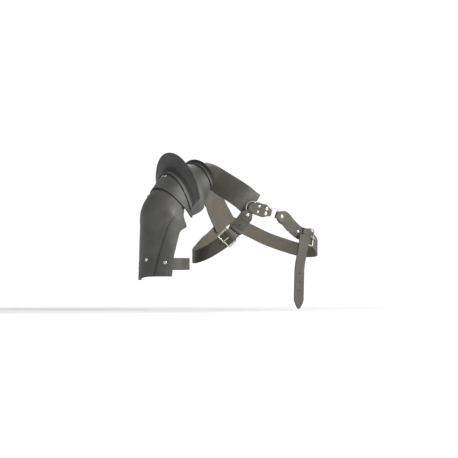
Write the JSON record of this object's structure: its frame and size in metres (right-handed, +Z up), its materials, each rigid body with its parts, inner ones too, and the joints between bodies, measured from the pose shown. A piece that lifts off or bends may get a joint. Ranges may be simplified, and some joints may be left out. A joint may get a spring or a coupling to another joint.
{
  "type": "pauldron",
  "caption": "Leather shoulder guard for the right arm: stitched arm plates, lames and two haute-pieces, with a buckled chest harness and arm strap.",
  "frame": {"origin": "the shoulder seat: the point of the wearer's right shoulder that the guard sits on", "axes": "+Z up, the wearer faces -Y and the wearer's right arm is on the -X side"},
  "size_m": [0.5157, 0.2419, 0.4159],
  "materials": {
    "guard": "satin, waxed, with worn edges",
    "fan": "satin, waxed",
    "strap": "satin, waxed",
    "nickel": "polished nickel plate, a little worn"
  },
  "bodies": {
    "root": {"arm_billet": "strap", "arm_billet_rivet": "nickel", "arm_buckle": "nickel", "arm_guard_back": "guard", "arm_guard_centre": "guard", "arm_guard_front": "guard", "arm_prong": "nickel", "arm_strap": "strap", "armpit_strap": "strap", "back_rivet_1_1": "nickel", "back_rivet_1_2": "nickel", "back_rivet_2_1": "nickel", "back_rivet_2_2": "nickel", "billet_1": "strap", "billet_2": "strap", "billet_rivet_1": "nickel", "billet_rivet_2": "nickel", "billet_rivet_3": "nickel", "buckle_1": "nickel", "buckle_2": "nickel", "chest_tab": "strap", "far_strap": "strap", "free_tail": "strap", "guard_rivet_centre": "nickel", "guard_rivet_front": "nickel", "guard_rivet_top": "nickel", "hanger_strap": "strap", "inner_haute_piece": "fan", "keeper_1": "strap", "lame_rivet_1": "nickel", "lame_rivet_2": "nickel", "middle_lame": "guard", "outer_haute_piece": "fan", "prong_1": "nickel", "prong_2": "nickel", "ring_1": "nickel", "ring_2": "nickel", "ring_flap": "strap", "shoulder_strap": "strap", "tab_rivet_1": "nickel", "tab_rivet_2": "nickel", "tab_rivet_3": "nickel", "tab_rivet_4": "nickel", "upper_lame": "guard"}
  },
  "joints": []
}
